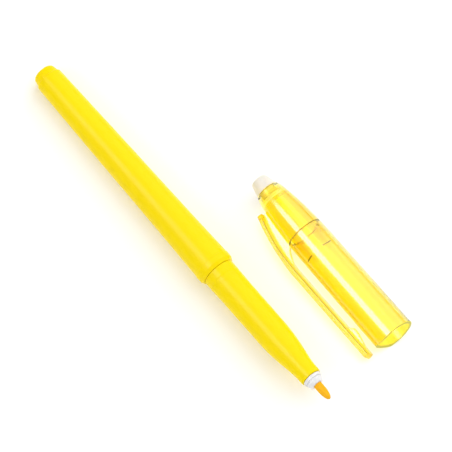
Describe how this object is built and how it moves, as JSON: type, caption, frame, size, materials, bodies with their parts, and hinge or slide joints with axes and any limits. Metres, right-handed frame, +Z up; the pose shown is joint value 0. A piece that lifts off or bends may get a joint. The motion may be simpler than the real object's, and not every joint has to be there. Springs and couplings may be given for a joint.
{
  "type": "fabric marking pen",
  "caption": "Slim fibre-tip fabric marking pen with a tapered opaque barrel, and its see-through clip cap with a friction rubber on top lying beside it.",
  "frame": {"origin": "bottom centre of the bounding box, on the surface that the pen and the cap lie on", "axes": "+X along the pen from its tail to its nib, +Y from the pen towards the cap, +Z up from the surface"},
  "size_m": [0.1312, 0.0386, 0.0124],
  "materials": {
    "pen_yellow": "opaque moulded plastic, satin to gloss",
    "pen_yellow_plug": "opaque moulded plastic, satin to gloss",
    "pen_yellow_front": "opaque moulded plastic, slightly glossier than the barrel",
    "white_plastic": "opaque white moulding, satin",
    "inked_fibre": "pressed fibre soaked with ink, dull",
    "reservoir_fibre": "loose fibre bundle soaked with ink, dull",
    "clear_film": "thin clear wrapping film",
    "clear_yellow_crown": "tinted see-through plastic, polished",
    "clear_yellow_tube": "tinted see-through plastic, polished",
    "clear_yellow_clip": "tinted see-through plastic, polished",
    "clear_yellow_cup": "tinted see-through plastic, satin",
    "milky_rubber": "milky, slightly see-through elastomer, dull"
  },
  "bodies": {
    "pen": {"barrel": "pen_yellow", "tail_plug": "pen_yellow_plug", "front_section": "pen_yellow_front", "nib_holder": "white_plastic", "nib": "inked_fibre", "ink_reservoir": "reservoir_fibre", "reservoir_film": "clear_film"},
    "cap": {"cap_crown": "clear_yellow_crown", "cap_tube": "clear_yellow_tube", "inner_cap": "clear_yellow_cup", "friction_rubber": "milky_rubber"},
    "clip": {"pocket_clip": "clear_yellow_clip"}
  },
  "joints": [
    {"name": "cap_turn", "type": "hinge", "parent": "pen", "child": "cap", "pos_m": [0.06505, -0.0002, 0.0062], "axis": [0, 0, -1], "range_deg": [0, 180]},
    {"name": "clip_flex", "type": "hinge", "parent": "cap", "child": "clip", "pos_m": [0.0281, 0.00437, 0.00277], "axis": [0, 0.3652, -0.9309], "range_deg": [0, 5.5], "stiffness_Nm_per_rad": 1}
  ]
}
